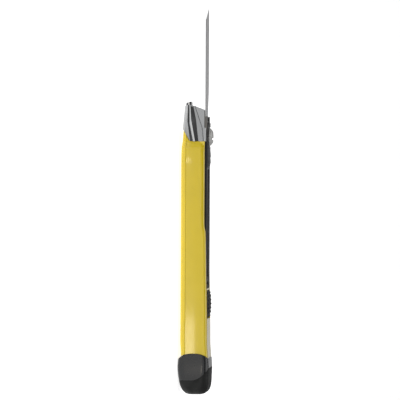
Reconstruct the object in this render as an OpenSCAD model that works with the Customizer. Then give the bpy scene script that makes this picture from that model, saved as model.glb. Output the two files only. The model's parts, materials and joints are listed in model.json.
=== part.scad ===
// Snap-off utility knife with a sliding 18 mm blade, a lock wheel and a pull-out magazine.
// The knife lies on its back: X runs along it with the blade towards -X, Z points out of the
// face with the thumb slider, and the origin is under its middle.

/* [Handle] */
// Length of the yellow case from its front edge to the end cap's seam
case_len = 131; // [129:0.5:134]
// Half of the case's width at its waist
case_half_w = 14.7; // [14.6:0.1:15.5]
// Height of the case's flat back above the lowest point of the end cap
back_z = 1.5; // [1.3:0.1:1.7]
// Radius of the case's long edges
edge_r = 3.8; // [3:0.1:4]
// Thickness of the case's walls
wall = 1.8; // [1.6:0.1:1.9]
// Height of the seam between the two halves of the case
seam_z = 4.8; // [4.6:0.1:5]

/* [Nose and cap] */
// How far the nose reaches in front of the case
nose_len = 24.9; // [24:0.1:26]
// How far the end cap reaches behind the seam
cap_len = 24.4; // [23:0.1:26]
// How far the end cap's arched seam drops from its middle to 9 mm above it
seam_drop = 2.9; // [2:0.1:3.2]

/* [Blade] */
// Width of the blade
blade_w = 18; // [18:0.05:18.1]
// Thickness of the blade
blade_t = 0.5; // [0.4:0.05:0.5]
// Length of a new blade
blade_len = 100; // [100:0.5:102]
// How far the blade reaches in front of the nose when it is all the way out
blade_reach = 58.5; // [56:0.5:60]
// Distance between two score lines
segment = 11.2; // [10:0.1:12]
// Angle of the score lines to the cutting edge
snap_angle = 65; // [60:1:68]
// Number of spare blades in the handle
spares = 3; // [1:1:3]

/* [Slide and lock] */
// How far the blade slides back
travel = 66; // [62:0.5:66]
// Radius of the lock wheel
wheel_r = 5.5; // [5:0.1:5.6]
// Height of the top of the track's lips
lip_z = 17.45; // [17.4:0.05:17.5]

/* [Hidden] */
$fn = 48;

// Places along X
tip_x = -(blade_reach + nose_len + case_len + cap_len) / 2;
nose_x = tip_x + blade_reach;
front_x = nose_x + nose_len;
cap_x = front_x + case_len;
butt_x = cap_x + cap_len;
tail_x = tip_x + blade_len;
pin_x = tail_x - 8;
wheel_x = front_x - 2.9;
carrier_front_x = wheel_x - 9.6;
carrier_rear_x = tail_x + 0.4;
track_front_x = carrier_front_x - 3;
track_rear_x = carrier_rear_x + travel + 5;
stop_x = carrier_rear_x + travel + 1.2;
insert_rear_x = track_rear_x + 2.3;
pad_front_x = insert_rear_x + 1.2;
pad_len = 17.3;

// Heights
gap = 0.05;
sheet_t = 0.4;
far = 200;
carrier_z = lip_z - sheet_t - gap - sheet_t;
blade_z = carrier_z - gap - blade_t;
track_z = blade_z - gap - blade_t;
deck_z = 13.4;
ceiling_z = 16;
floor_z = back_z + wall;
mid_z = 9.7;

// Half widths
slot_y = 6;
channel_y = 10.2;
insert_y = 12;
cavity_y = case_half_w - wall;

// Fasteners
front_screw_x = front_x + 5;
rear_screw_x = cap_x - 17;
front_screw_y = 8;
rear_screw_y = cavity_y - 1.1;
screw_r = 1;
head_r = 1.7;
rivet_r = 1.1;
rivet_xs = [front_x + 10, front_x + 36, front_x + 62];
slider_rivet_xs = [carrier_front_x + 3, carrier_rear_x - 2.8];
stud_r = 2;
pin_r = 2.4;
boss_r = 1.9;
slider_rivet_r = 0.78;

// Lock wheel
wheel_z0 = lip_z + 0.55;
wheel_z1 = lip_z + 2.9;
wheel_bore_r = 2.95;
wheel_teeth = 16;

// Grip pad
pad_half_w = 11.5;
pad_corner_r = 3;
pad_top_z = 18.9;
pad_crown_r = 60;

// Magazine
tray_front_x = cap_x - blade_len - 4.5;
tray_z = floor_z + 0.3;

// ---- Shared shapes ----

// Corners of one ring of a lofted shell: half width, bottom, top and edge radius
function ring(x, w, z0, z1, r, n = 6) = [
    for (c = [0:3], k = [0:n - 1])
        let (a = 90 * c + 90 * k / (n - 1),
             cy = (c == 0 || c == 3) ? w - r : r - w,
             cz = (c < 2) ? z1 - r : z0 + r)
        [x, cy + r * cos(a), cz + r * sin(a)]
];

// A closed shell through a list of rings that all have the same number of points
module loft(rings) {
    m = len(rings[0]);
    last = len(rings) - 1;
    sides = [
        for (i = [0:last - 1], j = [0:m - 1])
            let (a = i * m + j, b = i * m + (j + 1) % m)
            each [[a, b + m, b], [a, a + m, b + m]]
    ];
    ends = [[for (j = [0:m - 1]) j], [for (j = [m - 1:-1:0]) last * m + j]];
    polyhedron(points = [for (r = rings) each r], faces = concat(sides, ends), convexity = 6);
}

// A block between two corners
module block(a, b) {
    translate(a) cube(b - a);
}

// A block centred on the XZ plane
module bar(x0, x1, half_y, z0, z1) {
    block([x0, -half_y, z0], [x1, half_y, z1]);
}

// A side outline in X and Z, extruded over a width
module side_slab(points, half_y) {
    translate([0, half_y, 0]) rotate([90, 0, 0]) linear_extrude(2 * half_y) polygon(points);
}

// An upright pin
module post(x, y, z0, z1, r) {
    translate([x, y, z0]) cylinder(r = r, h = z1 - z0);
}

// The four case screws' places
module at_screws() {
    for (s = [-1, 1]) {
        translate([front_screw_x, s * front_screw_y, 0]) children();
        translate([rear_screw_x, s * rear_screw_y, 0]) children();
    }
}

// ---- Case ----

// Everything in front of the case's front edge; its lower part leans forward under the nose
module nose_side(clear = 0) {
    x = front_x - clear;
    side_slab([[x - 50, -5], [x - 8, -5], [x - 7, 3], [x, 6.6], [x, 30], [x - 50, 30]], 30);
}

// Everything behind the arched seam
module cap_side(clear = 0) {
    seam = [for (z = [-1:1:21]) [cap_x - 0.8 + seam_drop * pow(abs(z - mid_z) / 9, 3) + clear, z]];
    side_slab(concat(seam, [[cap_x + far, 21], [cap_x + far, -1]]), 30);
}

module case_outside() {
    w = case_half_w;
    b = back_z;
    loft([
        ring(front_x - 8, w - 3.5, b + 1.3, 16.3, edge_r - 1),
        ring(front_x, w - 2.4, b + 0.7, 16.5, edge_r - 0.6),
        ring(front_x + 3.7, w - 0.2, b + 0.2, 16.9, edge_r),
        ring(front_x + 14, w + 0.1, b, 16.9, edge_r),
        ring(front_x + 51, w, b, 16.9, edge_r),
        ring(front_x + 56, w, b, 17.3, edge_r),
        ring(front_x + 86, w + 0.4, b, 17.7, edge_r),
        ring(front_x + 111, w + 0.8, b, 18.1, edge_r),
        ring(cap_x - 7, w + 1, b, 18.2, edge_r),
        ring(cap_x - 2, w + 1, b + 0.4, 18.5, edge_r),
        ring(cap_x + 6, w + 1.1, b + 0.3, 18.9, edge_r)
    ]);
}

// Room for the mechanism and the magazine
module cavity() {
    bar(front_x + 6, cap_x + 10, cavity_y, floor_z, deck_z);
    bar(front_x - 12, front_x + 7, cavity_y - 1.9, floor_z, deck_z);
    bar(pad_front_x + 0.5, cap_x + 10, channel_y + 0.8, deck_z - 1, ceiling_z);
}

// Bed of the track, and the pocket of the insert around it
module track_recess() {
    bar(front_x - 20, track_rear_x + 0.15, channel_y + 0.15, track_z, 30);
    bar(front_x - 20, insert_rear_x + 0.1, insert_y + 0.1, lip_z - 1.3, 30);
}

module front_shell() {
    color([0.87, 0.73, 0.14])
    difference() {
        union() {
            difference() {
                intersection() {
                    case_outside();
                    block([front_x - 20, -30, seam_z], [cap_x + 20, 30, 30]);
                }
                cavity();
            }
            at_screws() post(0, 0, seam_z + 0.2, deck_z + 0.5, boss_r);
        }
        nose_side();
        cap_side();
        track_recess();
        pad_pocket();
        at_screws() post(0, 0, 0, deck_z - 1, screw_r);
        for (x = concat(rivet_xs, stop_x)) post(x, 0, 0, 30, rivet_r);
    }
}

module back_shell() {
    color([0.86, 0.72, 0.14])
    difference() {
        union() {
            difference() {
                intersection() {
                    case_outside();
                    block([front_x - 20, -30, -5], [cap_x + 20, 30, seam_z - gap]);
                }
                cavity();
            }
            at_screws() post(0, 0, floor_z - 0.5, seam_z, boss_r);
        }
        nose_side();
        cap_side();
        at_screws() post(0, 0, -1, 20, screw_r + gap);
        at_screws() post(0, 0, -1, back_z + 1.7, head_r + 0.15);
    }
}

module case_screws() {
    color([0.3, 0.3, 0.31])
    at_screws()
    difference() {
        union() {
            post(0, 0, back_z + 0.6, back_z + 1.65, head_r);
            post(0, 0, back_z + 1.6, deck_z - 1.5, screw_r - 0.02);
        }
        for (a = [0, 90]) rotate([0, 0, a]) bar(-1, 1, 0.18, 0, back_z + 1.2);
    }
}

// ---- Nose ----

// Side outline of the nose, from the case's front edge to the raised point at its back
nose_outline = [
    [front_x + 1, 2.2], [front_x - 7.2, 2.8], [front_x - 12, 3.2], [front_x - 22, 3.6],
    [front_x - 24, 4.1], [nose_x, 7], [front_x - 22.7, 7.6], [front_x - 20.9, 13.5],
    [front_x - 19.6, blade_z - 0.2], [front_x - 10.3, blade_z - 0.2], [front_x - 10.3, lip_z],
    [front_x + 1, lip_z]
];

module nose_body() {
    intersection() {
        side_slab(nose_outline, 20);
        // Plan outline with creased flanks
        translate([0, 0, -5]) linear_extrude(40) polygon([
            [front_x + 1, -13], [front_x - 3, -12.8], [nose_x + 8, -12], [nose_x - 1, -11.5],
            [nose_x - 1, 11.5], [nose_x + 8, 12], [front_x - 3, 12.8], [front_x + 1, 13]
        ]);
        // Bevelled long edges
        loft([
            ring(nose_x - 2, 12.2, 2.4, 18.3, 2.2, 3),
            ring(front_x + 2, 13.6, 1.2, 18.3, 2.2, 3)
        ]);
    }
}

module nose() {
    color([0.66, 0.67, 0.68])
    difference() {
        union() {
            intersection() {
                nose_body();
                nose_side(gap);
            }
            // Spigot inside the case
            bar(front_x - 3, front_x + 8, cavity_y - 2, seam_z + 0.4, deck_z - 0.1);
        }
        // Groove along the flanks, wider towards the case
        for (s = [-1, 1]) translate([0, s * 13.5, 0])
            side_slab([[nose_x + 1, 7.2], [nose_x + 1, 8.2], [front_x + 1, 12], [front_x + 1, 7.4]], 1.6);
        // The raised point is a tongue in the middle
        for (s = [-1, 1]) translate([0, s * 10, 0]) bar(nose_x - 2, front_x - 22.3, 6, 0, 8);
        // Hollow inside
        bar(nose_x + 8, front_x + 9, 6.6, 6.5, deck_z - 1);
        // Bed of the track, and the mouth in front of it
        bar(track_front_x - 0.15, front_x + 20, channel_y + 0.15, track_z - gap, 30);
        bar(nose_x - 2, front_x + 20, blade_w / 2 + 0.4, blade_z - 0.15, carrier_z + 0.2);
        for (s = [-1, 1]) post(front_screw_x, s * front_screw_y, 0, 20, boss_r + 0.1);
    }
}

// ---- Track ----

module blade_channel() {
    color([0.16, 0.16, 0.15])
    difference() {
        bar(track_front_x, track_rear_x, channel_y, track_z + gap, lip_z);
        bar(track_front_x - 1, track_rear_x + 1, channel_y - 0.5, blade_z - gap, lip_z - sheet_t);
        bar(track_front_x - 1, track_rear_x + 1, slot_y, blade_z, 30);
        for (x = concat(rivet_xs, stop_x)) post(x, 0, 0, 30, rivet_r);
    }
}

module channel_rivets() {
    color([0.55, 0.55, 0.56])
    for (x = rivet_xs) {
        post(x, 0, deck_z - 0.6, blade_z - 0.1, rivet_r);
        rivet_head(x);
    }
}

// Head under the deck
module rivet_head(x) {
    post(x, 0, deck_z - 0.6, deck_z - 0.02, rivet_r + 0.9);
}

module end_stop() {
    color([0.1, 0.1, 0.1]) {
        post(stop_x, 0, deck_z - 0.6, blade_z + 0.5, rivet_r);
        rivet_head(stop_x);
        bar(stop_x - 1, stop_x + 2, slot_y - 0.4, blade_z, lip_z - 0.1);
    }
}

module track_insert() {
    color([0.09, 0.09, 0.09])
    difference() {
        bar(front_x + 0.1, insert_rear_x, insert_y, lip_z - 1.2, lip_z + gap);
        bar(front_x - 1, track_rear_x + 0.15, channel_y + 0.1, 0, 30);
        // Bevelled outer edges
        for (s = [-1, 1]) translate([0, s * insert_y, lip_z + gap]) rotate([45, 0, 0])
            bar(front_x - 1, cap_x, 0.4, -0.4, 0.4);
    }
}

// Pocket and outline of the grip pad
module pad_outline(x, y, z0, z1) {
    r = pad_corner_r;
    translate([0, 0, z0]) linear_extrude(z1 - z0) hull() for (sx = [0, 1], sy = [-1, 1])
        translate([sx ? pad_front_x + pad_len + x - r : pad_front_x - x + r, sy * (pad_half_w + y - r)])
            circle(r);
}

module pad_pocket() {
    pad_outline(0.1, 0.1, 16.8, 30);
}

module front_grip_pad() {
    pad_mid = pad_front_x + pad_len / 2;
    color([0.11, 0.11, 0.11])
    difference() {
        intersection() {
            pad_outline(0, 0, 16.85, 20);
            translate([pad_mid, 30, pad_top_z - pad_crown_r]) rotate([90, 0, 0])
                cylinder(r = pad_crown_r, h = 60, $fn = 180);
        }
        for (i = [-2:2]) translate([pad_mid + 2.8 * i, 0, pad_top_z]) rotate([0, 45, 0])
            bar(-0.5, 0.5, 9, -0.5, 0.5);
    }
}

module magazine_divider() {
    color([0.2, 0.2, 0.21])
    difference() {
        bar(front_x + 14, cap_x - 11, cavity_y - 0.1, 9.4, 10.2);
        at_screws() post(0, 0, 0, 20, boss_r + 0.15);
    }
}

module cap_catch() {
    color([0.7, 0.71, 0.72]) {
        bar(cap_x - 30, cap_x - 20, 3, ceiling_z - 0.45, ceiling_z);
        side_slab([[cap_x - 20.5, 15.55], [cap_x - 20.5, ceiling_z], [cap_x - 6, 14.1], [cap_x - 4.6, 13.2],
                   [cap_x - 3, 14.2], [cap_x - 3, 13.75], [cap_x - 4.5, 12.7], [cap_x - 6.2, 13.7]], 3);
    }
}

// ---- Blade and slider ----

// Plan outline of a blade with its point at the far end of the cutting edge
module blade_plan() {
    slant = blade_w / tan(snap_angle);
    half = blade_w / 2;
    polygon([[0, half], [slant, -half], [blade_len, -half], [blade_len, half - 4], [blade_len - 2, half]]);
}

// A blade lying flat, with its point at the origin's X and its back at the origin's Z
module flat_blade() {
    half = blade_w / 2;
    bevel = 1.8;
    difference() {
        intersection() {
            linear_extrude(blade_t) blade_plan();
            rotate([90, 0, 90]) translate([0, 0, -1]) linear_extrude(blade_len + 2)
                polygon([[-half, 0], [half - bevel, 0], [half, blade_t / 2 - 0.02],
                         [half, blade_t / 2 + 0.02], [half - bevel, blade_t], [-half, blade_t]]);
        }
        // Score lines in the upper face
        for (i = [1:7]) translate([i * segment + blade_w / 2 / tan(snap_angle), 0, blade_t])
            rotate([0, 0, -snap_angle]) translate([-20, -0.1, -0.1]) cube([40, 0.2, 0.2]);
        post(blade_len - 8, 0, -1, 1, pin_r + 0.1);
    }
}

module blade() {
    color([0.62, 0.63, 0.64])
    translate([tip_x, 0, blade_z]) flat_blade();
}

module blade_carrier() {
    color([0.6, 0.6, 0.58])
    difference() {
        union() {
            bar(carrier_front_x, carrier_rear_x, channel_y - 1, carrier_z, carrier_z + sheet_t);
            post(pin_x, 0, blade_z + gap, carrier_z + 0.1, pin_r);
        }
        post(wheel_x, 0, 0, 30, stud_r + 0.5);
        for (x = slider_rivet_xs) post(x, 0, 0, 30, slider_rivet_r + 0.02);
    }
}

module carrier_stud() {
    color([0.62, 0.62, 0.6])
    difference() {
        union() {
            post(wheel_x, 0, carrier_z + gap, carrier_z + sheet_t, stud_r + 0.45);
            post(wheel_x, 0, carrier_z + sheet_t, lip_z + 1.7, stud_r);
        }
        // Groove for the clip
        difference() {
            post(wheel_x, 0, lip_z + 1.32, lip_z + 1.56, 5);
            post(wheel_x, 0, lip_z + 1.2, lip_z + 1.7, stud_r - 0.35);
        }
    }
}

module stud_clip() {
    color([0.5, 0.5, 0.5])
    difference() {
        post(wheel_x, 0, lip_z + 1.35, lip_z + 1.53, stud_r + 0.7);
        post(wheel_x, 0, lip_z, 30, stud_r - 0.33);
        bar(wheel_x - 5, wheel_x, 0.9, lip_z + 1, 30);
    }
}

// Side outline of the slider: a low nub, the seat of the wheel, and ridges that step down
module thumb_slider() {
    z = lip_z + gap;
    x = wheel_x;
    rear = carrier_rear_x;
    color([0.13, 0.13, 0.13])
    difference() {
        union() {
            intersection() {
                side_slab([[x - 9.2, z], [x - 9.2, z + 0.6], [x - 8.4, z + 0.95], [x - 6.6, z + 0.95],
                           [x - 6, z + 0.5], [x + 6, z + 0.5], [x + 6.2, z + 0.9], [x + 8, z + 0.9],
                           [x + 11.6, z + 1.2], [x + 12, z + 0.95], [x + 13.3, z + 0.95],
                           [x + 14.9, z + 1.2], [x + 16.6, z + 0.9], [x + 17.9, z + 0.65],
                           [rear - 0.6, z + 0.15], [rear - 0.6, z]], 7.4);
                translate([0, 0, z]) linear_extrude(5) hull() {
                    translate([x - 6.7, 0]) scale([0.5, 1]) circle(7.2);
                    translate([rear - 3, 0]) circle(5.6);
                    translate([x, 0]) circle(7.4);
                }
            }
            // Neck through the slot
            bar(carrier_front_x + 1, rear - 1.4, slot_y - 0.15, carrier_z + sheet_t + 0.02, z + 0.2);
        }
        post(x, 0, 0, 30, stud_r + 0.05);
        post(x, 0, z + 0.25, 30, wheel_r + 0.2);
        for (rx = slider_rivet_xs) {
            post(rx, 0, 0, 30, slider_rivet_r + 0.02);
            post(rx, 0, z + 0.15, 30, 1.5);
        }
    }
}

module slider_rivets() {
    color([0.5, 0.5, 0.5])
    for (x = slider_rivet_xs) {
        post(x, 0, carrier_z + gap, lip_z + 0.25, slider_rivet_r);
        post(x, 0, lip_z + 0.22, lip_z + 0.5, 1.4);
    }
}

module spring_washer() {
    color([0.6, 0.6, 0.58])
    difference() {
        post(wheel_x, 0, lip_z + 0.32, lip_z + 0.5, 3.6);
        post(wheel_x, 0, 0, 30, stud_r + 0.15);
    }
}

// Knurled wheel with a thumb groove across its top
module lock_wheel() {
    rim_z = wheel_z1 - 1.6;
    color([0.32, 0.32, 0.33])
    difference() {
        union() {
            post(wheel_x, 0, wheel_z0, rim_z, wheel_r, $fn = 96);
            translate([wheel_x, 0, rim_z])
                cylinder(r1 = wheel_r, r2 = wheel_r - 1.9, h = wheel_z1 - rim_z, $fn = 96);
        }
        post(wheel_x, 0, 0, 30, wheel_bore_r);
        for (i = [1:wheel_teeth]) rotate_about(wheel_x, 360 / wheel_teeth * i)
            post(wheel_x + wheel_r + 0.35, 0, 0, 30, 0.75);
        bar(wheel_x + 0.6, wheel_x + 1.8, 8, wheel_z1 - 1.2, 30);
    }
}

module rotate_about(x, a) {
    translate([x, 0, 0]) rotate([0, 0, a]) translate([-x, 0, 0]) children();
}

module wheel_nut() {
    color([0.72, 0.58, 0.28])
    difference() {
        post(wheel_x, 0, wheel_z0, wheel_z0 + 0.7, wheel_bore_r - 0.02);
        post(wheel_x, 0, 0, 30, stud_r + 0.04);
    }
}

// ---- End cap and magazine ----

module cap_outside() {
    w = case_half_w;
    loft([
        ring(cap_x - 1, w + 1.1, 0.9, 18.8, edge_r),
        ring(cap_x + 2.5, w + 1.6, 0.4, 19, edge_r),
        ring(cap_x + 7.5, w + 2, 0, 19.3, edge_r + 0.4),
        ring(cap_x + 13, w + 2, 0.4, 19.2, edge_r + 0.8),
        ring(cap_x + 18, w + 1.4, 1.3, 19, edge_r + 1.2),
        ring(cap_x + 21.5, w + 0.3, 2.7, 18.3, edge_r + 1.4),
        ring(cap_x + 23.6, w - 1.6, 4.6, 16.8, edge_r + 0.8),
        ring(butt_x, w - 4, 6.8, 14.4, edge_r - 0.8)
    ]);
}

// The bumper's side of the split: it wraps further forward over the front face
module bumper_side(clear = 0) {
    x = cap_x + clear;
    side_slab([[x + 15.8, -5], [x + 15.8, 10.5], [x + 14.8, 13], [x + 13, 15.5], [x + 11, 17.6],
               [x + 8.6, 19], [x + 6, 20.5], [x + 30, 20.5], [x + 30, -5]], 30);
}

module end_cap() {
    color([0.27, 0.27, 0.28])
    difference() {
        union() {
            difference() {
                intersection() {
                    cap_outside();
                    cap_side(0.15);
                }
                bumper_side(-0.1);
                bar(cap_x - 12, cap_x + 8, 10.6, tray_z - gap, 12.4);
            }
            // Plug in the mouth of the case
            difference() {
                bar(cap_x - 9, cap_x + 5, cavity_y - 0.15, floor_z + 0.1, deck_z - 0.15);
                bar(cap_x - 12, cap_x + 8, 10.6, floor_z - 1, 12.4);
            }
            // Tongue that holds the bumper
            bar(cap_x + 9, cap_x + 18, 6, 7, 12);
        }
        // Notch for the catch
        bar(cap_x - 6.6, cap_x - 2.6, 3.4, 12, 20);
        for (s = [-1, 1]) post(cap_x + 4, s * 6, tray_z - 2.1, 12, 1);
    }
}

module cap_bumper() {
    color([0.15, 0.155, 0.15])
    difference() {
        intersection() {
            cap_outside();
            bumper_side(0);
        }
        bar(cap_x, cap_x + 18.1, 6.1, 6.9, 12.1);
    }
}

module magazine_tray() {
    color([0.2, 0.2, 0.2])
    difference() {
        bar(tray_front_x, cap_x + 6, 9.8, tray_z, tray_z + 3.6);
        bar(tray_front_x + 0.8, cap_x - 2, 9.2, tray_z + 0.6, 20);
        bar(cap_x - 2.5, cap_x + 7, 30, tray_z + 1.5, 20);
        for (s = [-1, 1]) post(cap_x + 4, s * 6, 0, 12, 1);
    }
}

module tray_rivets() {
    color([0.5, 0.5, 0.5])
    for (s = [-1, 1]) {
        post(cap_x + 4, s * 6, tray_z - 2, tray_z + 1.6, 0.98);
        post(cap_x + 4, s * 6, tray_z + 1.52, tray_z + 2, 1.8);
    }
}

module spare_blades() {
    color([0.62, 0.63, 0.64])
    for (i = [0:spares - 1])
        translate([tray_front_x + 1.1, 0, tray_z + 0.65 + i * (blade_t + gap)]) flat_blade();
}

module tray_spring() {
    z = tray_z + 0.7 + spares * (blade_t + gap);
    x = cap_x;
    color([0.7, 0.71, 0.72])
    side_slab([[x - 2.3, tray_z + 1.52], [x - 2, tray_z + 1.52], [x - 2, z + 1.45], [x - 8, z + 1.3],
               [x - 30, z + 0.3], [x - 34, z + 0.9], [x - 34, z + 0.6], [x - 30, z + 0.02],
               [x - 8, z + 1.02], [x - 2.3, z + 1.15]], 4);
}

front_shell();
back_shell();
nose();
blade_channel();
channel_rivets();
end_stop();
track_insert();
front_grip_pad();
magazine_divider();
case_screws();
cap_catch();
blade();
blade_carrier();
carrier_stud();
thumb_slider();
slider_rivets();
spring_washer();
stud_clip();
lock_wheel();
wheel_nut();
end_cap();
cap_bumper();
magazine_tray();
tray_rivets();
spare_blades();
tray_spring();
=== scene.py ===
"""Looks of the snap-off utility knife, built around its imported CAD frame.

Lengths inside the shape functions are millimetres in the CAD frame: X runs from the blade's point
to the butt, Z out of the thumb-slider face. solid() turns them into metres.
"""

import json
import math

import bmesh
import bpy
from mathutils import Matrix, Vector


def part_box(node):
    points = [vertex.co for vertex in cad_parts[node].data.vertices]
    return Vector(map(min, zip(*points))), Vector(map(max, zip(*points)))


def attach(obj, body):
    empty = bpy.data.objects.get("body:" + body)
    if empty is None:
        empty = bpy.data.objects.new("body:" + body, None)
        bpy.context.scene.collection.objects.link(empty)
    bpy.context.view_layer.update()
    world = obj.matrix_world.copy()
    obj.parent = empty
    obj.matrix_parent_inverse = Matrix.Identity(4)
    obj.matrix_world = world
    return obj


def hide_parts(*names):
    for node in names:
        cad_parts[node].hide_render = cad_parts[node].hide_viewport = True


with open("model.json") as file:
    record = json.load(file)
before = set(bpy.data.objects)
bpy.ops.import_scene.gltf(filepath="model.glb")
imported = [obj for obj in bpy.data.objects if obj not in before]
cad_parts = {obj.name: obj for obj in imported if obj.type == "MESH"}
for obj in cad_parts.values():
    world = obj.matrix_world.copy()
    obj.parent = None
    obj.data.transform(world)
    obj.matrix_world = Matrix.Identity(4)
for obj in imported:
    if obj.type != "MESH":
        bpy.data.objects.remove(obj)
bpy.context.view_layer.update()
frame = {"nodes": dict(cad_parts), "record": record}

MM = 0.001
scene = bpy.context.scene


# ---------------------------------------------------------------- places, from the CAD frame

def span(node):
    """Lowest and highest corner of a CAD node, in millimetres."""
    lo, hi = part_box(node)
    return lo / MM, hi / MM


POCKET_GAP = 0.1        # play round the pieces that are set into the case's front face
CHANNEL_GAP = 0.15      # play round the blade's track
PLUG_LENGTH = 9.0       # how far the end cap's plug reaches into the case

NOSE_X = span("nose")[0].x
FRONT_X = span("track_insert")[0].x - POCKET_GAP
CAP_X = span("end_cap")[0].x + PLUG_LENGTH
BUTT_X = span("cap_bumper")[1].x
TIP_X = span("blade")[0].x
TAIL_X = span("blade")[1].x
TRACK_FRONT_X = span("blade_channel")[0].x
INSERT_REAR_X = span("track_insert")[1].x
PAD_X = (span("front_grip_pad")[0].x, span("front_grip_pad")[1].x)
WHEEL_X = (span("lock_wheel")[0].x + span("lock_wheel")[1].x) / 2

CHANNEL_Y = span("blade_channel")[1].y
INSERT_Y = span("track_insert")[1].y
PAD_Y = span("front_grip_pad")[1].y

LIP_Z = span("blade_channel")[1].z
BLADE_Z = span("blade")[0].z
BACK_Z = span("back_shell")[0].z

CASE_Y = 14.7           # half width of the case at its waist
EDGE_R = 3.8            # radius of the case's long edges
WALL = 1.8              # thickness of the case's walls
THIN_WALL = 1.3         # the same where the case tapers
TAPER_X = FRONT_X + 3.7     # where the case's front reaches its full width
TOP_Z = 16.9            # top of the case along the track
SEAM_Z = 4.8            # seam between the two halves of the case
SEAM_INSET = 0.12       # depth of the groove along that seam
DECK_Z = 13.4           # underside of the deck that carries the track
CEILING_Z = 16.0        # ceiling behind the track
MID_Z = 9.7             # middle of the case's height
TRACK_BED_Z = LIP_Z - 2         # bottom of the track's pocket
INSERT_BED_Z = LIP_Z - 1.3      # what the frame round the track lies on
PAD_BED_Z = 16.8        # what the grip pad lies on
FLOOR_Z = BACK_Z + WALL
CAVITY_Y = CASE_Y - WALL
OVER_Z = 30             # above everything, for cuts that leave through the front face


# ---------------------------------------------------------------- curves

def spline(rows, count):
    """Points of a smooth curve through rows of numbers, count of them from each row to the next."""
    dense = []
    for i in range(len(rows) - 1):
        before = rows[max(i - 1, 0)]
        after = rows[min(i + 2, len(rows) - 1)]
        for k in range(count):
            dense.append([catmull(*four, k / count) for four in zip(before, rows[i], rows[i + 1], after)])
    return dense + [list(rows[-1])]


def catmull(a, b, c, d, t):
    """Catmull-Rom curve from b to c."""
    second = 2 * a - 5 * b + 4 * c - d
    third = 3 * b - a - 3 * c + d
    return 0.5 * (2 * b + (c - a) * t + second * t * t + third * t ** 3)


def read(curve, x):
    """The curve's other numbers where its first one is x."""
    for low, high in zip(curve, curve[1:]):
        if x <= high[0]:
            break
    t = min(1.0, max(0.0, (x - low[0]) / max(high[0] - low[0], 1e-9)))
    return [p + (q - p) * t for p, q in zip(low[1:], high[1:])]


def along(points, t):
    """Height of a line of points at t."""
    return read(points, t)[0]


def ease(t):
    t = min(1.0, max(0.0, t))
    return t * t * (3 - 2 * t)


def steps(low, high, count):
    return [low + (high - low) * k / count for k in range(count + 1)]


# Section of the case: place, half width, bottom, top, edge radius
CASE = [
    [FRONT_X - 8, CASE_Y - 3.5, BACK_Z + 1.3, TOP_Z - 0.6, EDGE_R - 1],
    [FRONT_X, CASE_Y - 2.4, BACK_Z + 0.7, TOP_Z - 0.4, EDGE_R - 0.6],
] + spline([
    (TAPER_X, CASE_Y - 0.2, BACK_Z + 0.2, TOP_Z, EDGE_R),
    (FRONT_X + 14, CASE_Y + 0.1, BACK_Z, TOP_Z, EDGE_R),
    (FRONT_X + 51, CASE_Y, BACK_Z, TOP_Z, EDGE_R),
    (FRONT_X + 56, CASE_Y, BACK_Z, TOP_Z + 0.4, EDGE_R),
    (FRONT_X + 86, CASE_Y + 0.4, BACK_Z, TOP_Z + 0.8, EDGE_R),
    (FRONT_X + 111, CASE_Y + 0.8, BACK_Z, TOP_Z + 1.2, EDGE_R),
    (CAP_X - 7, CASE_Y + 1, BACK_Z, TOP_Z + 1.3, EDGE_R),
    (CAP_X - 2, CASE_Y + 1, BACK_Z + 0.4, TOP_Z + 1.6, EDGE_R),
    (CAP_X + 6, CASE_Y + 1.1, BACK_Z + 0.3, TOP_Z + 2, EDGE_R),
], 4)

# Section of the end cap, in the same way
CAP = spline([
    (CAP_X - 1, CASE_Y + 1.1, 0.9, 18.8, EDGE_R),
    (CAP_X + 2.5, CASE_Y + 1.6, 0.4, 19, EDGE_R),
    (CAP_X + 7.5, CASE_Y + 2, 0, 19.3, EDGE_R + 0.4),
    (CAP_X + 13, CASE_Y + 2, 0.4, 19.2, EDGE_R + 0.8),
    (CAP_X + 18, CASE_Y + 1.4, 1.3, 19.0, EDGE_R + 1.2),
    (CAP_X + 21.5, CASE_Y + 0.3, 2.7, 18.3, EDGE_R + 1.4),
    (CAP_X + 23.6, CASE_Y - 1.6, 4.6, 16.8, EDGE_R + 0.8),
    (BUTT_X, CASE_Y - 4, 6.8, 14.4, EDGE_R - 0.8),
], 8)


# ---------------------------------------------------------------- mesh helpers

def solid(name, verts, faces, body, slot, replaces=(), bevel=0.0, sharp=32, bevel_angle=32):
    """A closed piece from points in millimetres, with its body, its material slot and what it replaces."""
    mesh = bpy.data.meshes.new(name)
    mesh.from_pydata([Vector(v) * MM for v in verts], [], faces)
    obj = bpy.data.objects.new(name, mesh)
    scene.collection.objects.link(obj)
    clean(obj, sharp)
    if bevel:
        round_edges(obj, bevel, bevel_angle)
    mesh.materials.append(MATERIALS[slot])
    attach(obj, body)
    if replaces:
        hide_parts(*replaces)
    return obj


def clean(obj, sharp=32):
    """Merges doubled points, turns the faces outward and marks the edges sharper than an angle."""
    bm = bmesh.new()
    bm.from_mesh(obj.data)
    bmesh.ops.remove_doubles(bm, verts=bm.verts, dist=0.000004)
    bmesh.ops.dissolve_degenerate(bm, edges=bm.edges, dist=0.000002)
    bmesh.ops.recalc_face_normals(bm, faces=bm.faces)
    large = [face for face in bm.faces if len(face.verts) > 4]
    bmesh.ops.triangulate(bm, faces=large, ngon_method="BEAUTY")
    limit = math.radians(sharp)
    for face in bm.faces:
        face.smooth = True
    for edge in bm.edges:
        edge.smooth = not (len(edge.link_faces) == 2 and edge.calc_face_angle(0) > limit)
    bm.to_mesh(obj.data)
    bm.free()


def round_edges(obj, width, angle=32):
    bevel = obj.modifiers.new("Rounded edges", "BEVEL")
    bevel.width = width * MM
    bevel.segments = 2
    bevel.limit_method = "ANGLE"
    bevel.angle_limit = math.radians(angle)
    bevel.use_clamp_overlap = True
    bevel.harden_normals = True


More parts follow.
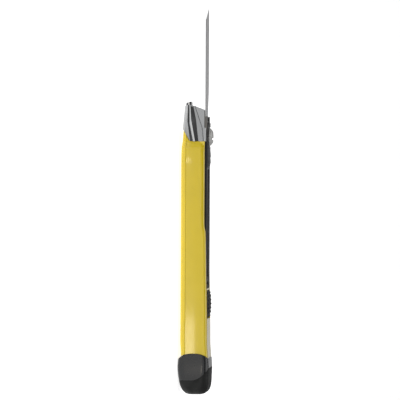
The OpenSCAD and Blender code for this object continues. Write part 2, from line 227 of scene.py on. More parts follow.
def loft(rings, closed_ends=True, mirrored=False):
    """Points and faces of a skin through rings that have the same number of points.

    The ends of mirrored rings are closed by strips across the middle.
    """
    count = len(rings[0])
    verts = [p for ring in rings for p in ring]
    faces = []
    for i in range(len(rings) - 1):
        for j in range(count):
            k = (j + 1) % count
            faces.append((i * count + j, i * count + k, (i + 1) * count + k, (i + 1) * count + j))
    last = (len(rings) - 1) * count
    if mirrored:
        for start in (0, last):
            for j in range(count // 2 - 1):
                faces.append(tuple(start + k for k in (j, j + 1, count - 2 - j, count - 1 - j)))
    elif closed_ends:
        faces.append(tuple(range(count - 1, -1, -1)))
        faces.append(tuple(range(last, last + count)))
    return verts, faces


def relief(outline, columns, height, bottom):
    """A pad whose top follows height(x, y). outline(x) gives its half width."""
    rings = []
    for x in columns:
        half = outline(x)
        ring = [(x, half * s, height(x, half * s)) for s in steps(-1, 1, 28)]
        ring += [(x, half * s, bottom) for s in (1, 0.5, 0, -0.5, -1)]
        rings.append(ring)
    return loft(rings)


def cut(obj, verts, faces):
    """Takes a closed shape, given in millimetres, out of a piece."""
    mesh = bpy.data.meshes.new("cutter")
    mesh.from_pydata([Vector(v) * MM for v in verts], [], faces)
    tool = bpy.data.objects.new("cutter", mesh)
    scene.collection.objects.link(tool)
    clean(tool)
    boolean = obj.modifiers.new("Cut", "BOOLEAN")
    boolean.operation = "DIFFERENCE"
    boolean.solver = "EXACT"
    boolean.object = tool
    apply_modifiers(obj)
    bpy.data.objects.remove(tool)
    clean(obj)


def apply_modifiers(obj):
    """Bakes a piece's modifiers into its mesh."""
    evaluated = obj.evaluated_get(bpy.context.evaluated_depsgraph_get())
    mesh = bpy.data.meshes.new_from_object(evaluated)
    obj.modifiers.clear()
    obj.data = mesh


def box(low, high):
    (a, b, c), (d, e, f) = low, high
    ring = [(b, c), (e, c), (e, f), (b, f)]
    return loft([[(x, y, z) for y, z in ring] for x in (a, d)])


def tube(x, y, low, high, radius, sides=32):
    turns = [2 * math.pi * k / sides for k in range(sides)]
    circle = [(x + radius * math.cos(t), y + radius * math.sin(t)) for t in turns]
    return loft([[(*point, z) for point in circle] for z in (low, high)])


# ---------------------------------------------------------------- materials

def material(name):
    made = bpy.data.materials.new(name)
    made.use_nodes = True
    return made, made.node_tree, made.node_tree.nodes["Principled BSDF"]


def texture(tree, kind, scale, vector=None, **settings):
    """A procedural texture in object space, in repeats per metre; vector stretches it."""
    place = tree.nodes.new("ShaderNodeTexCoord")
    mapping = tree.nodes.new("ShaderNodeMapping")
    mapping.inputs["Scale"].default_value = vector or (1, 1, 1)
    made = tree.nodes.new(kind)
    made.inputs["Scale"].default_value = scale
    for key, value in settings.items():
        made.inputs[key].default_value = value
    tree.links.new(place.outputs["Object"], mapping.inputs["Vector"])
    tree.links.new(mapping.outputs["Vector"], made.inputs["Vector"])
    return made


def ramp(tree, source, low, high, start=0.3, end=0.7):
    """Maps a texture to a range of grey or colour."""
    made = tree.nodes.new("ShaderNodeValToRGB")
    made.color_ramp.elements[0].position = start
    made.color_ramp.elements[1].position = end
    for element, value in zip(made.color_ramp.elements, (low, high)):
        element.color = (*value, 1) if isinstance(value, tuple) else (value, value, value, 1)
    tree.links.new(source, made.inputs["Fac"])
    return made.outputs["Color"]


def bump(tree, shader, source, strength, distance):
    made = tree.nodes.new("ShaderNodeBump")
    made.inputs["Strength"].default_value = strength
    made.inputs["Distance"].default_value = distance
    tree.links.new(source, made.inputs["Height"])
    tree.links.new(made.outputs["Normal"], shader.inputs["Normal"])


def plastic(name, colour, roughness, grain=900, depth=0.00002, strength=0.25, spread=0.06,
            coat=0.0, shine=0.5):
    """Moulded plastic or rubber: faint uneven colour, an uneven gloss and a fine moulded grain."""
    made, tree, shader = material(name)
    cloud = texture(tree, "ShaderNodeTexNoise", 60, Detail=4)
    darker = tuple(c * (1 - spread) for c in colour)
    lighter = tuple(min(1, c * (1 + spread)) for c in colour)
    tree.links.new(ramp(tree, cloud.outputs["Fac"], darker, lighter), shader.inputs["Base Color"])
    wear = texture(tree, "ShaderNodeTexNoise", 240, Detail=6)
    gloss = ramp(tree, wear.outputs["Fac"], roughness * 0.8, min(1, roughness * 1.25))
    tree.links.new(gloss, shader.inputs["Roughness"])
    fine = texture(tree, "ShaderNodeTexNoise", grain, Detail=3)
    bump(tree, shader, fine.outputs["Fac"], strength, depth)
    shader.inputs["Coat Weight"].default_value = coat
    shader.inputs["Coat Roughness"].default_value = 0.08
    shader.inputs["Specular IOR Level"].default_value = shine
    return made


def metal(name, colour, roughness, stretch=(1, 1, 1), scale=800, strength=0.15, spread=0.1, aniso=0.0):
    """Bare or plated metal, with brush marks along one direction when stretch says so."""
    made, tree, shader = material(name)
    shader.inputs["Metallic"].default_value = 1.0
    shader.inputs["Anisotropic"].default_value = aniso
    cloud = texture(tree, "ShaderNodeTexNoise", 90, Detail=5)
    darker = tuple(c * (1 - spread) for c in colour)
    tree.links.new(ramp(tree, cloud.outputs["Fac"], darker, colour), shader.inputs["Base Color"])
    marks = texture(tree, "ShaderNodeTexNoise", scale, stretch, Detail=6)
    gloss = ramp(tree, marks.outputs["Fac"], roughness * 0.7, min(1, roughness * 1.35))
    tree.links.new(gloss, shader.inputs["Roughness"])
    bump(tree, shader, marks.outputs["Fac"], strength, 0.00001)
    return made


MATERIALS = {
    "case_yellow": plastic("Yellow case", (0.65, 0.485, 0.005), 0.2, grain=700, depth=0.00001,
                           strength=0.08, spread=0.03, coat=0.7, shine=0.4),
    "nose_chrome": metal("Plated nose", (0.44, 0.445, 0.45), 0.14, scale=500, strength=0.05, spread=0.06),
    "track_steel": metal("Black oxide track", (0.13, 0.125, 0.12), 0.42, stretch=(1, 20, 20)),
    "blade_steel": metal("Ground blade", (0.7, 0.705, 0.71), 0.3, stretch=(30, 1, 1), scale=400,
                         strength=0.1, aniso=0.4),
    "spring_steel": metal("Spring steel", (0.6, 0.61, 0.62), 0.3, stretch=(1, 12, 12)),
    "fastener_steel": metal("Zinc-plated steel", (0.52, 0.52, 0.5), 0.35),
    "nut_brass": metal("Turned brass", (0.72, 0.53, 0.22), 0.3, stretch=(1, 1, 14)),
    "insert_black": plastic("Black insert", (0.006, 0.005, 0.004), 0.5, grain=1600, strength=0.5,
                            shine=0.2),
    "grip_rubber": plastic("Black grip", (0.009, 0.008, 0.0075), 0.6, grain=1800, strength=0.7,
                           shine=0.3),
    "slider_plastic": plastic("Black slider", (0.02, 0.019, 0.018), 0.38, grain=1500, strength=0.4),
    "wheel_grey": plastic("Grey wheel", (0.52, 0.52, 0.51), 0.36, grain=1500, strength=0.3),
    "cap_grey": plastic("Dark grey cap", (0.012, 0.0125, 0.0135), 0.25, grain=1200, strength=0.3,
                        coat=0.2, shine=0.35),
    "bumper_black": plastic("Black bumper", (0.006, 0.0065, 0.006), 0.6, grain=1500, strength=0.6,
                            shine=0.28),
    "tray_plastic": plastic("Black tray", (0.03, 0.03, 0.03), 0.5, grain=1200, strength=0.3),
}


# ---------------------------------------------------------------- case

def rounded_top(y, half, top, radius):
    """Height of a section's top surface at y."""
    inside = half - radius
    if abs(y) <= inside:
        return top
    return top - radius + math.sqrt(max(0.0, radius ** 2 - (abs(y) - inside) ** 2))


def seam_arch(z):
    """How far behind CAP_X the arched seam lies at a height."""
    crest, drop, half_height = 0.8, 2.9, 9
    return drop * (abs(z - MID_Z) / half_height) ** 3 - crest


def front_lean(z):
    """How far the case's front edge leans forward under the nose at a height."""
    upright_z, low_z, reach = 6.6, 3.0, 7.0
    if z > upright_z:
        return 0.0
    if z > low_z:
        return -reach * (upright_z - z) / (upright_z - low_z)
    return -reach - (low_z - z) / 8


def crown(z):
    """How far the case's side has curved inward at a height above the seam."""
    above = max(0.0, z - SEAM_Z)
    return 0.044 * above + 0.004 * above ** 2


def front_profile(x, pocket):
    """Half section of the front shell at x: seam, side, top, centre, then back inside."""
    half, _, top, radius = read(CASE, x)
    radius -= 1.3 * ease((x - FRONT_X - 50) / 7)
    lip = 0.5 if pocket == "track" else 0.2
    edge = (PAD_Y if pocket == "pad" else INSERT_Y) + POCKET_GAP
    seam_z = SEAM_Z + 0.02
    outer = [(half - SEAM_INSET, seam_z)]
    outer += [(half - crown(z), z) for z in steps(SEAM_Z + 0.16, top - radius, 8)]
    half -= crown(top - radius)
    last = math.acos(min(1, max(0, (edge + lip - half + radius) / radius)))
    outer += [(half - radius + radius * math.cos(a), top - radius + radius * math.sin(a))
              for a in steps(0, last, 10)[1:]]
    channel = CHANNEL_Y + CHANNEL_GAP
    inside = 5.0        # a point between the track's side and the centre
    if pocket == "track":
        outer += [(edge, rounded_top(edge, half, top, radius) - lip), (edge, INSERT_BED_Z),
                  (channel, INSERT_BED_Z), (channel, TRACK_BED_Z), (inside, TRACK_BED_Z), (0, TRACK_BED_Z)]
    elif pocket == "pad":
        outer += [(edge, top - lip)]
        outer += [(y, PAD_BED_Z) for y in (edge, channel, CHANNEL_Y, inside, 0)]
    else:
        outer += [(y, rounded_top(y, half, top, radius))
                  for y in (edge, edge - 0.4, channel, CHANNEL_Y - 0.5, inside, 0)]
    ceiling = CEILING_Z if x > PAD_X[0] + 0.5 else DECK_Z
    side = min(CAVITY_Y, half - THIN_WALL)
    step = min(CHANNEL_Y + 0.8, side - 0.2)
    inner = [(0, ceiling), (inside, ceiling), (step, ceiling), (step, DECK_Z), (side, DECK_Z),
             (side, seam_z)]
    return outer, inner


def back_profile(x):
    """Half section of the back shell at x: seam, side, bottom, centre, then back inside."""
    half, bottom, _, radius = read(CASE, x)
    outer = [(half - SEAM_INSET, SEAM_Z - 0.05), (half, SEAM_Z - 0.2)]
    rise = SEAM_Z - 0.4 - bottom
    start = math.asin(min(1, max(0, (radius - rise) / radius)))
    outer += [(half - radius + radius * math.cos(a), bottom + radius - radius * math.sin(a))
              for a in steps(start, math.pi / 2, 12)]
    outer += [(y, bottom) for y in (8.5, 6, 3, 0)]
    side = min(CAVITY_Y, half - THIN_WALL)
    inner = [(y, FLOOR_Z) for y in (0, 6, side - 1)] + [(side, FLOOR_Z + 0.8), (side, SEAM_Z - 0.07)]
    return outer, inner


def whole_section(halves):
    """The closed loop of a section from its outer and inner half."""
    outer, inner = halves
    loop = outer + [(-y, z) for y, z in reversed(outer[:-1])]
    loop += [(-y, z) for y, z in reversed(inner)] + inner[1:]
    return loop


def warped(x, z):
    """Moves a nominal place along X, so that the case ends at its leaning front and its arched seam."""
    front = 1 - min(1.0, max(0.0, (x - FRONT_X) / 10))
    rear = min(1.0, max(0.0, (x - CAP_X + 12) / 12))
    return x + front * front_lean(z) + rear * seam_arch(z)


def case_rings(stations, section):
    """Rings of a shell at stations, each a place along X with the kind of pocket there."""
    rings = []
    for x, pocket in stations:
        ring = []
        for i, (_, z) in enumerate(whole_section(section(x, pocket))):
            moved = warped(x, z)
            ring.append((moved, *whole_section(section(moved, pocket))[i]))
        rings.append(ring)
    return rings


def places(rear, count):
    """Places along the case: close together where its front tapers, then evenly to the rear."""
    return steps(FRONT_X, TAPER_X, 6) + [FRONT_X + 4.2, FRONT_X + 5] + steps(FRONT_X + 6, rear, count)


def front_shell():
    edge = 0.02         # length of a pocket's end wall
    track_end = INSERT_REAR_X + POCKET_GAP
    pad_low, pad_high = PAD_X[0] - POCKET_GAP, PAD_X[1] + POCKET_GAP
    stations = [(x, "track") for x in places(track_end, 36)]
    stations += [(x, "") for x in steps(track_end + edge, pad_low - edge, 3)]
    stations += [(x, "pad") for x in steps(pad_low, pad_high, 8)]
    stations += [(x, "") for x in steps(pad_high + edge, CAP_X, 14)]
    verts, faces = loft(case_rings(stations, front_profile))
    solid("front_shell_skin", verts, faces, "handle", "case_yellow", ["front_shell"], bevel=0.25, sharp=24,
          bevel_angle=24)


def back_shell():
    stations = [(x, "") for x in places(CAP_X, 50)]
    verts, faces = loft(case_rings(stations, lambda x, _: back_profile(x)))
    obj = solid("back_shell_skin", verts, faces, "handle", "case_yellow", ["back_shell"])
    for x, y, radius in screw_places():
        cut(obj, *tube(x, y, -1, BACK_Z + 1.7, radius + 0.15))
        cut(obj, *tube(x, y, 0, SEAM_Z + 1, 1.05))
    round_edges(obj, 0.12)


def screw_places():
    """Centre and head radius of each case screw."""
    low, high = span("case_screws")
    head, front_y = 1.7, 8.0
    pairs = ((low.x + head, front_y), (high.x - head, high.y - head))
    return [(x, side * y, head) for x, y in pairs for side in (-1, 1)]


# ---------------------------------------------------------------- nose

NOSE_TOP = BLADE_Z - 0.3        # top of the nose where the blade lies bare on it
STEP_TOP = NOSE_TOP + 0.06      # top of the small step up to the part that holds the track

# Front edge of the nose in side view, from its underside up: height, distance behind the point
NOSE_EDGE = [(3.5, 3.2), (4.5, 2.6), (7.6, 2.6), (8.0, 2.7), (13.5, 4.0), (NOSE_TOP, 5.4), (STEP_TOP, 14.4),
             (17.5, 14.5)]

# Half width of the nose: share of its length, half width
NOSE_PLAN = [(0, 11.5), (0.34, 12.0), (0.88, 12.7), (1, 12.9)]

# Creases of the flank, as heights along the nose from point to case: share, height
STRIPE = [(0, 6.0), (0.5, 6.2), (1, 8.4)]
RIDGE = [(0, 7.2), (0.4, 7.8), (1, 10.3)]
VALLEY = [(0, 8.9), (0.4, 10.7), (1, 12.2)]
CREASE = [(0, 10.0), (0.3, 12.3), (0.6, 14.6), (1, 15.3)]


def flank(t):
    """Heights and depths of the flank's creases at a share of the nose's length."""
    bottom = 3.75 - 1.3 * t
    stripe, ridge, valley, crease = (along(line, t) for line in (STRIPE, RIDGE, VALLEY, CREASE))

    def upper(z):
        """Depth of the flank's upper part, which leans inward."""
        return 1.1 + 0.075 * (z - crease)

    return [
        (bottom, 1.5), (bottom + 0.5, 0.5), (bottom + 1.2, 0.0),
        (stripe - 0.35 - 0.8 * t, 0.0), (stripe + 0.55, 0.5 + 0.3 * t), (stripe + 0.7, 0.15 + 0.25 * t),
        (ridge - 0.1, 0.1), (ridge, 0.14),
        (valley, 1.45), (crease - 0.55, 1.45 + 0.13 * (crease - valley - 0.55)),
        (crease - 0.05, 0.95), (crease + 0.2, 1.1),
        (NOSE_TOP, upper(NOSE_TOP)), (STEP_TOP, upper(NOSE_TOP)),
        (LIP_Z - 0.7, upper(LIP_Z - 0.9)), (LIP_Z - 0.15, upper(LIP_Z) + 0.2), (LIP_Z, 2.0),
    ]


def nose():
    """Die-cast nose with creased flanks, a raised point at its back and a slanted front."""
    rings = []
    for t in steps(0, 1, 26):
        rising = [(-1, z, depth) for z, depth in flank(t)]
        falling = [(1, z, depth) for z, depth in reversed(flank(t))]
        ring = []
        for side, z, depth in rising + falling:
            start = NOSE_X + along(NOSE_EDGE, z)
            end = FRONT_X - 0.08 + front_lean(z)
            ring.append((start + (end - start) * t, side * (along(NOSE_PLAN, t) - depth), z))
        rings.append(ring)
    verts, faces = loft(rings, mirrored=True)
    obj = solid("nose_casting", verts, faces, "handle", "nose_chrome", ["nose"], sharp=14)
    channel = CHANNEL_Y + CHANNEL_GAP
    rear = FRONT_X + 1
    cut(obj, *box((TRACK_FRONT_X - CHANNEL_GAP, -channel, TRACK_BED_Z - 0.05), (rear, channel, OVER_Z)))
    slot_x, slot_y = NOSE_X + 13, 9.4
    cut(obj, *box((slot_x, -slot_y, BLADE_Z - 0.15), (rear, slot_y, BLADE_Z + 0.75)))
    clean(obj, 14)
    round_edges(obj, 0.12, 20)
    tongue()


def tongue():
    """The nose's raised point: a tongue with two grooves along its flanks."""
    section = [(3.5, 3.75), (4.0, 4.0), (4.0, 4.2), (3.54, 5.0), (4.0, 5.1), (3.95, 6.0), (3.32, 7.1),
               (2.8, 7.3)]
    front = [(3.7, 1.5), (4.2, 1.0), (5, 0.7), (6.9, 0.05), (7.3, 0.5)]
    length = 3
    loop = [(-y, z) for y, z in section] + [(y, z) for y, z in reversed(section)]
    rings = [[(NOSE_X + max(x, along(front, z)), y, z) for y, z in loop] for x in (0, length)]
    verts, faces = loft(rings, mirrored=True)
    solid("nose_tongue", verts, faces, "handle", "nose_chrome", sharp=14, bevel=0.08)


# ---------------------------------------------------------------- end cap

# Split between the cap and its bumper: height, distance behind the seam
SPLIT = [(-1, 15.8), (9.5, 15.8), (11.5, 15.4), (13.5, 14.4), (15.8, 12.7), (17.8, 10.6), (19, 8.6),
         (20.5, 6)]


def section_point(curve, x, around):
    """Point of a rounded section at x, at a share of the way round. A quarter is an arc, then a side."""
    half, bottom, top, radius = read(curve, x)
    quarter, t = divmod(around * 4, 1)
    quarter = int(quarter) % 4
    arc_share = 0.66

    def on_arc(corner, angle):
        y = (half - radius) * (1 if corner in (0, 3) else -1)
        z = top - radius if corner < 2 else bottom + radius
        return y + radius * math.cos(angle), z + radius * math.sin(angle)

    if t < arc_share:
        return on_arc(quarter, math.pi / 2 * (quarter + t / arc_share))
    angle = math.pi / 2 * (quarter + 1)
    here, there = on_arc(quarter, angle), on_arc((quarter + 1) % 4, angle)
    u = (t - arc_share) / (1 - arc_share)
    return here[0] + (there[0] - here[0]) * u, here[1] + (there[1] - here[1]) * u


def split_x(z):
    return CAP_X + along(SPLIT, z)


def cap_skin(front, rear, shares):
    """Rings of the cap between two surfaces, given as x for a height. The front is drawn in to a middle."""
    points = 96
    rings = []
    for share in shares:
        ring = []
        for k in range(points):
            x = CAP_X + 12
            for _ in range(4):      # the section depends on x, and x on the section's height
                z = section_point(CAP, x, k / points)[1]
                x = front(z) + (rear(z) - front(z)) * share
            ring.append((x, *section_point(CAP, x, k / points)))
        rings.append(ring)
    return drawn_in(rings[0], front) + rings


def drawn_in(ring, surface):
    """Ever larger copies of a ring on its own end surface, up to the ring itself."""
    made = []
    for scale in (0.5, 0.8, 0.93, 0.985):
        flat = [(y * scale, MID_Z + (z - MID_Z) * scale) for _, y, z in ring]
        made.append([(surface(z), y, z) for y, z in flat])
    return made


def end_cap():
    def front(z):
        return CAP_X + 0.15 + seam_arch(z)

    def rear(z):
        return split_x(z) - 0.1

    shares = [0, 0.03, 0.08] + steps(0.16, 0.84, 8) + [0.92, 0.97, 1]
    rings = cap_skin(front, rear, shares)
    rings += reversed(drawn_in(rings[-1], rear))
    verts, faces = loft(rings)
    solid("end_cap_collar", verts, faces, "cap", "cap_grey", ["end_cap"], bevel=0.15)
    plug()


def plug():
    """The cap's hollow plug, which holds the case's mouth and the tray."""
    side, low, high = CAVITY_Y - 0.15, FLOOR_Z + 0.1, DECK_Z - 0.15
    chamfer, hollow_y, roof = 0.4, 10.6, DECK_Z - 1
    outer = [(side, low), (side, high - chamfer), (side - chamfer, high), (0, high)]
    inner = [(0, roof), (hollow_y, roof), (hollow_y, low)]
    loop = whole_section((outer, inner))
    verts, faces = loft([[(x, y, z) for y, z in loop] for x in (CAP_X - PLUG_LENGTH, CAP_X + 1.5)])
    solid("end_cap_plug", verts, faces, "cap", "cap_grey", bevel=0.2)


def cap_bumper():
    shares = [1 - (1 - t) ** 2 for t in steps(0, 1, 26)]
    shares = [0, 0.01] + shares[1:]
    rings = cap_skin(split_x, lambda z: BUTT_X, shares)
    middle_z, scale = MID_Z + 0.5, 0.6
    rings.append([(BUTT_X, y * scale, middle_z + (z - middle_z) * scale) for _, y, z in rings[-1]])
    verts, faces = loft(rings)
    solid("cap_bumper_skin", verts, faces, "cap", "bumper_black", ["cap_bumper"], bevel=0.15)


# ---------------------------------------------------------------- pads, slider and wheel

def grip_pad():
    """Soft pad with rounded ribs across it."""
    low, high = PAD_X
    middle, half = (low + high) / 2, (high - low) / 2
    corner = 3.0
    dome = span("front_grip_pad")[1].z - 0.02
    rim = 17.2
    ribs, rib_height = 7, 0.5

    def outline(x):
        over = abs(x - middle) - (half - corner)
        return PAD_Y if over <= 0 else PAD_Y - corner + math.sqrt(max(0.0, corner ** 2 - over ** 2))

    def height(x, y):
        t = (x - middle) / half
        edge = ease((1 - abs(t)) * 6) * ease((PAD_Y - abs(y)) / 1.6)
        wave = 0.5 + 0.5 * math.cos(t * math.pi * (ribs - 0.001))
        ribbed = rib_height * wave * ease((PAD_Y - 1.6 - abs(y)) / 1.2)
        return rim + (dome - 0.8 * t * t - rim) * edge + (ribbed - rib_height / 2) * edge

    columns = [middle + half * math.sin(t * math.pi / 2) for t in steps(-0.999, 0.999, 90)]
    verts, faces = relief(outline, columns, height, PAD_BED_Z + 0.05)
    solid("grip_pad_skin", verts, faces, "handle", "grip_rubber", ["front_grip_pad"], sharp=50)


def slider():
    """Thumb slider: a low nub in front, the seat of the wheel, and ridges that step down behind it."""
    low, high = span("thumb_slider")
    base = LIP_Z + 0.05
    seat_r, bore_r = 5.7, 2.05
    # Height of the top over the base, and half width, along X
    top = [(low.x, 0.45), (low.x + 0.5, 0.85), (WHEEL_X - 6.6, 0.95), (WHEEL_X - 6, 0.5),
           (WHEEL_X + 5.8, 0.5), (WHEEL_X + 6.1, 0.9), (WHEEL_X + 8, 0.88), (WHEEL_X + 9.9, 1.1),
           (WHEEL_X + 11.5, 1.2), (WHEEL_X + 12.1, 1.17), (WHEEL_X + 12.8, 0.95), (WHEEL_X + 13.4, 0.98),
           (WHEEL_X + 14.8, 1.17), (WHEEL_X + 15.7, 1.12), (WHEEL_X + 16.6, 0.9), (WHEEL_X + 17.9, 0.65),
           (high.x - 0.2, 0.2), (high.x, 0.1)]
    width = spline([(low.x, 5.0), (low.x + 1.2, 6.3), (WHEEL_X - 5, 7.2), (WHEEL_X, 7.35),
                    (WHEEL_X + 6, 6.9), (WHEEL_X + 12, 6.2), (high.x - 2, 5.6), (high.x, 4.2)], 8)

    def outline(x):
        return along(width, x)

    def height(x, y):
        domed = 1 - 0.25 * (y / 7.4) ** 2
        side = ease((outline(x) - abs(y)) / 0.7)
        return base + 0.2 + (along(top, x) * domed - 0.2) * side

    verts, faces = relief(outline, steps(low.x, high.x, 150), height, base)
    obj = solid("slider_top", verts, faces, "slide", "slider_plastic", ["thumb_slider"], sharp=40)
    cut(obj, *tube(WHEEL_X, 0, base + 0.25, OVER_Z, seat_r, 64))
    cut(obj, *tube(WHEEL_X, 0, 0, OVER_Z, bore_r))
    first, last = span("slider_rivets")
    rivet_r = 1.4
    for x in (first.x + rivet_r, last.x - rivet_r):
        cut(obj, *tube(x, 0, base + 0.15, OVER_Z, rivet_r + 0.1))
    neck_y = 5.85
    verts, faces = box((low.x + 0.6, -neck_y, low.z), (high.x - 0.8, neck_y, base + 0.1))
    neck = solid("slider_neck", verts, faces, "slide", "slider_plastic")
    cut(neck, *tube(WHEEL_X, 0, 0, OVER_Z, bore_r))


def lock_wheel():
    """Knurled wheel with a rounded rim and a thumb groove across its top."""
    low, high = span("lock_wheel")
    outer, bore = (high.x - low.x) / 2 + 0.02, 2.95
    teeth, tooth_depth = 16, 0.42
    groove_x, groove_half, groove_z = 1.2, 0.6, high.z - 1.15
    # Profile: radius, height
    profile = [(bore, low.z), (outer - 0.25, low.z), (outer, low.z + 0.2), (outer - 0.1, high.z - 1.75),
               (outer - 0.4, high.z - 1.3), (outer - 0.9, high.z - 0.85), (outer - 1.5, high.z - 0.4),
               (outer - 2.0, high.z - 0.12), (bore + 0.3, high.z), (bore + 0.1, high.z - 0.1),
               (bore, high.z - 0.3)]
    turns = [2 * math.pi * k / (teeth * 10) for k in range(teeth * 10)]
    rings = []
    for radius, z in profile:
        ring = []
        for turn in turns:
            knurled = radius > outer - 1
            scallop = tooth_depth * max(0.0, math.cos(teeth * turn)) ** 1.5 if knurled else 0.0
            x, y = (radius - scallop) * math.cos(turn), (radius - scallop) * math.sin(turn)
            groove = max(0.0, z - groove_z) * math.exp(-((x - groove_x) / groove_half) ** 4)
            ring.append((WHEEL_X + x, y, z - groove))
        rings.append(ring)
    rings.append(rings[0])
    verts, faces = loft(rings, closed_ends=False)
    solid("lock_wheel_skin", verts, faces, "wheel", "wheel_grey", ["lock_wheel"], sharp=40)


# ---------------------------------------------------------------- blade

def blade():
    """Segmented blade: grid lines follow the snap angle, score lines are grooves in the upper face.

    Out of the nose it twists a little, which lifts its cutting edge.
    """
    width, length, thick = 18.0, TAIL_X - TIP_X, 0.5
    half, twist = width / 2, 0.48
    slant = 1 / math.tan(math.radians(65))
    segment, score_width, score_depth = 11.2, 0.16, 0.1
    in_segment = (score_width, 0.35 * segment, 0.7 * segment, segment - score_width, segment)
    starts = [k * segment for k in range(int(length // segment) + 1)]
    grid = {round(start + p, 4) for start in starts for p in in_segment if start + p < length - 0.5}
    # Place across the blade, and its upper and lower face in shares of half the thickness
    across = [(-half, -0.2, -0.8), (-half + 0.2, 1, -1), (-half / 2, 1, -1), (0, 1, -1), (half / 2, 1, -1),
              (half - 1.9, 1, -1), (half - 1.8, 0.98, -0.98), (half - 0.9, 0.5, -0.5), (half, 0.03, -0.03)]
    rings = []
    for place in [0.0] + sorted(grid) + [length]:
        lean = 1 - ease((place - 76) / 14)
        number = place / segment
        on_line = 0 < round(number) < 8 and abs(number - round(number)) * segment < 0.02
        scored = score_depth if on_line else 0.0
        upper, lower = [], []
        for y, above, below in across:
            x = min(TIP_X + length, TIP_X + place + (half - y) * slant * lean)
            lift = twist * ease((WHEEL_X - 14 - x) / 18) * (y + half) / width
            middle = BLADE_Z + thick / 2 + lift
            upper.append((x, y, middle + thick / 2 * above - scored * max(0, above)))
            lower.append((x, y, middle + thick / 2 * below))
        rings.append(upper + lower[::-1])
    verts, faces = loft(rings)
    obj = solid("blade_skin", verts, faces, "slide", "blade_steel", ["blade"], sharp=12)
    hole_x, hole_r = TIP_X + length - 8, 2.5
    cut(obj, *tube(hole_x, 0, 0, OVER_Z, hole_r))
    clean(obj, 12)


# ---------------------------------------------------------------- everything

def dress_frame():
    """Gives every CAD node its material, and a small radius on the edges of those that stay in view."""
    slots = {s["node"]: s["material_slot"] for s in frame["record"]["subparts"]}
    for name, node in frame["nodes"].items():
        node.data.materials.clear()
        node.data.materials.append(MATERIALS[slots[name]])
        round_edges(node, 0.08, 40)


def floor():
    made, tree, shader = material("Pale floor")
    grain = texture(tree, "ShaderNodeTexNoise", 30, Detail=3)
    tree.links.new(ramp(tree, grain.outputs["Fac"], 0.80, 0.84), shader.inputs["Base Color"])
    shader.inputs["Roughness"].default_value = 0.9
    shader.inputs["Emission Color"].default_value = (1, 1, 1, 1)
    shader.inputs["Emission Strength"].default_value = 0.84
    reach = 60          # metres
    corners = [(-reach, -reach, 0), (reach, -reach, 0), (reach, reach, 0), (-reach, reach, 0)]
    mesh = bpy.data.meshes.new("floor")
    mesh.from_pydata(corners, [], [(0, 1, 2, 3)])
    mesh.materials.append(made)
    obj = bpy.data.objects.new("floor", mesh)
    scene.collection.objects.link(obj)


def area_light(name, place, target, size, power, colour=(1, 1, 1)):
    data = bpy.data.lights.new(name, "AREA")
    data.shape = "RECTANGLE"
    data.size, data.size_y = size
    data.energy = power
    data.color = colour
    obj = bpy.data.objects.new(name, data)
    obj.location = place
    obj.rotation_euler = (Vector(target) - Vector(place)).to_track_quat("-Z", "Y").to_euler()
    obj.visible_camera = False
    scene.collection.objects.link(obj)


def shifted(tree, source):
    """Brings a direction's -1 to 1 to a ramp's 0 to 1."""
    made = tree.nodes.new("ShaderNodeMapRange")
    made.inputs["From Min"].default_value = -1
    tree.links.new(source, made.inputs["Value"])
    return made.outputs["Result"]


def times(tree, first, second):
    made = tree.nodes.new("ShaderNodeMath")
    made.operation = "MULTIPLY"
    tree.links.new(first, made.inputs[0])
    tree.links.new(second, made.inputs[1])
    return made.outputs["Value"]


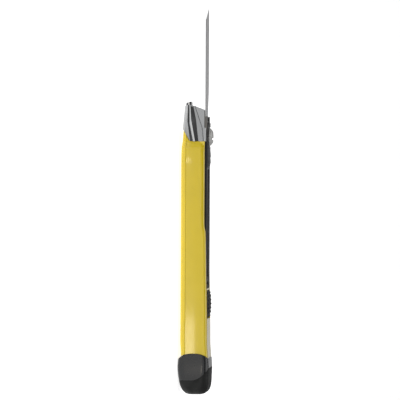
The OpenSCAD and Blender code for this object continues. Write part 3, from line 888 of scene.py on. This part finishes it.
def studio():
    """White to the camera. Reflections see a room that is bright in front and dark behind and above."""
    world = bpy.data.worlds.new("Studio")
    world.use_nodes = True
    scene.world = world
    tree = world.node_tree
    place = tree.nodes.new("ShaderNodeTexCoord")
    split = tree.nodes.new("ShaderNodeSeparateXYZ")
    tree.links.new(place.outputs["Generated"], split.inputs["Vector"])
    height = ramp(tree, split.outputs["Z"], 1.0, 0.1, 0.0, 0.72)
    depth = ramp(tree, shifted(tree, split.outputs["Y"]), 1.0, 0.6, 0.1, 1.0)
    ahead = ramp(tree, shifted(tree, split.outputs["X"]), 0.35, 1.0, 0.0, 0.3)
    room = times(tree, times(tree, height, depth), ahead)
    seen = tree.nodes.new("ShaderNodeLightPath")
    mix = tree.nodes.new("ShaderNodeMix")
    mix.data_type = "RGBA"
    mix.inputs["B"].default_value = (1.05, 1.05, 1.05, 1)
    tree.links.new(seen.outputs["Is Camera Ray"], mix.inputs["Factor"])
    tree.links.new(room, mix.inputs["A"])
    tree.links.new(mix.outputs["Result"], tree.nodes["Background"].inputs["Color"])
    area_light("key", (0.2, -0.8, 0.45), (0, 0, 0.01), (0.5, 0.4), 0.5)
    area_light("overhead", (0, 0.1, 1.2), (0, 0, 0), (1.0, 1.0), 5.5)
    area_light("band", (0.108, -0.45, 0.026), (0.078, 0, 0.01), (0.07, 0.048), 0.06, (1, 0.9, 0.75))
    area_light("spot", (-0.042, -0.45, 0.014), (-0.025, 0, 0.008), (0.008, 0.026), 0.0085, (1, 0.85, 0.6))


def camera():
    """The knife's narrow side with the blade up, seen from slightly above its lying position."""
    distance, elevation, roll = 2.0, math.radians(5), math.radians(0.25)
    height = 0.247          # metres from the top of the picture to its bottom
    target = Vector((0, 0, 0.01235))
    data = bpy.data.cameras.new("camera")
    data.sensor_width = 36
    data.lens = distance / height * data.sensor_width
    away = Vector((0, -math.cos(elevation), math.sin(elevation)))
    level_up = Vector((-1, 0, 0))
    level_right = level_up.cross(away)
    right = level_right * math.cos(roll) + level_up * math.sin(roll)
    up = level_up * math.cos(roll) - level_right * math.sin(roll)
    obj = bpy.data.objects.new("camera", data)
    obj.matrix_world = Matrix((right, up, away)).transposed().to_4x4()
    obj.location = target + away * distance
    scene.collection.objects.link(obj)
    scene.camera = obj


dress_frame()
front_shell()
back_shell()
nose()
end_cap()
cap_bumper()
grip_pad()
slider()
lock_wheel()
blade()
floor()
studio()
camera()
scene.view_settings.view_transform = "Standard"
